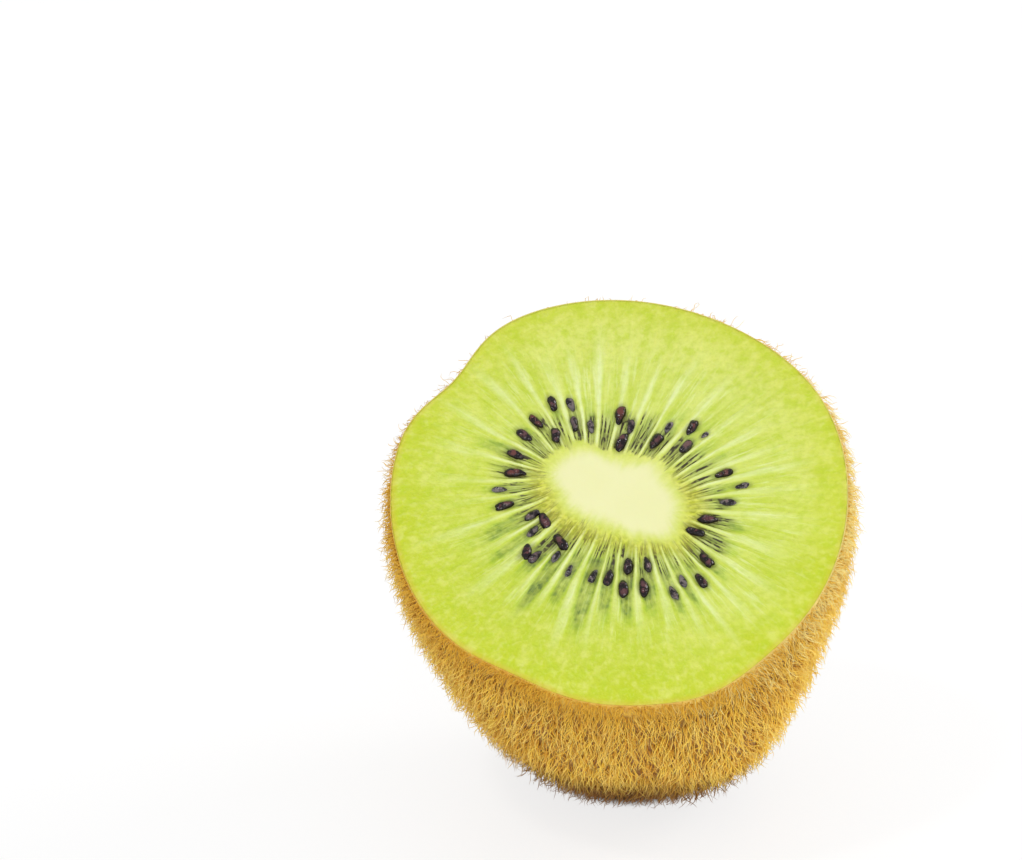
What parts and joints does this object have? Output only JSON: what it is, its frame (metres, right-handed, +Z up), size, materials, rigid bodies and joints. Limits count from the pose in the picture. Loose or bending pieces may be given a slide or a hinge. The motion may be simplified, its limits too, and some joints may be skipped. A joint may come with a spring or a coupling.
{
  "type": "kiwi fruit half",
  "caption": "Half of a fuzzy brown kiwi fruit, cut across its middle, lying on its skin with the green face, pale core and ring of dark seeds turned up and to the front.",
  "frame": {"origin": "middle of the small flat spot that the half rests on", "axes": "+Z up; the cut face looks up and towards -Y, with its normal 36.4 degrees off +Z; +X is to the right of someone who looks along +Y"},
  "size_m": [0.0513, 0.0537, 0.051],
  "materials": {
    "flesh": "moist, slightly translucent lime green with paler rays and a cream core",
    "skin": "thin dull brown skin, orange brown at the cut edge",
    "fuzz": "dense coat of short curly golden brown hairs",
    "seed": "glossy purple black",
    "flower_end": "dry dark brown"
  },
  "bodies": {
    "root": {"kiwi_half": "flesh"}
  },
  "joints": []
}
